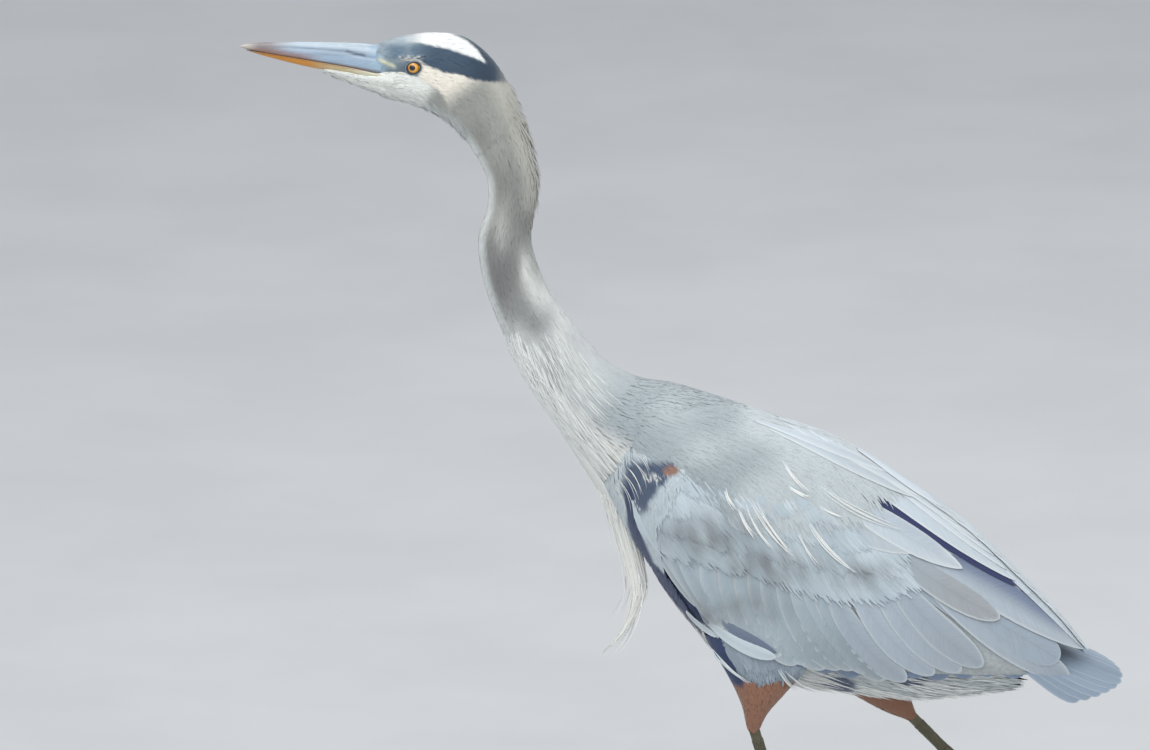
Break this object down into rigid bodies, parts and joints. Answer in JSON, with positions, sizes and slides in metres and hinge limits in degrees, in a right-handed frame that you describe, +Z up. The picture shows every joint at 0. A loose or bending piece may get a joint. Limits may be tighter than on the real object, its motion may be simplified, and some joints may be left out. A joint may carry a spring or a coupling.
{
  "type": "great blue heron",
  "caption": "Life-size still heron striding with its neck raised and its body tipped forward, wings folded, dagger bill level.",
  "frame": {"origin": "on the floor, under the middle of the whole bird from bill tip to tail tip", "axes": "+Z up; the bird faces -X and its left side is -Y"},
  "size_m": [0.8816, 0.1708, 0.955],
  "materials": {
    "plumage_head": "matt, soft",
    "plumage_neck": "matt, soft",
    "plumage_body": "matt, soft",
    "flight_feathers": "satin",
    "plumes": "matt, soft",
    "plumage_thigh": "matt, soft",
    "bill_upper": "smooth horn, satin",
    "bill_lower": "smooth horn, satin",
    "leg_skin": "scaly skin, satin",
    "claw_horn": "smooth horn, satin",
    "eye": "wet gloss"
  },
  "bodies": {
    "root": {"head": "plumage_head", "neck_upper": "plumage_neck", "neck_middle": "plumage_neck", "neck_lower": "plumage_neck", "trunk": "plumage_body", "wing_left_coverts": "plumage_body", "wing_right_coverts": "plumage_body", "tail": "flight_feathers", "wing_left_tertials": "flight_feathers", "wing_left_secondaries": "flight_feathers", "wing_left_primaries": "flight_feathers", "wing_right_tertials": "flight_feathers", "wing_right_secondaries": "flight_feathers", "wing_right_primaries": "flight_feathers", "breast_plumes": "plumes", "thigh_left": "plumage_thigh", "thigh_right": "plumage_thigh", "bill_upper": "bill_upper", "bill_lower": "bill_lower", "shank_left": "leg_skin", "tarsus_left": "leg_skin", "foot_left": "leg_skin", "shank_right": "leg_skin", "tarsus_right": "leg_skin", "foot_right": "leg_skin", "claw_left_inner": "claw_horn", "claw_left_middle": "claw_horn", "claw_left_outer": "claw_horn", "claw_left_hind": "claw_horn", "claw_right_inner": "claw_horn", "claw_right_middle": "claw_horn", "claw_right_outer": "claw_horn", "claw_right_hind": "claw_horn", "eye_left": "eye", "eye_right": "eye"}
  },
  "joints": []
}
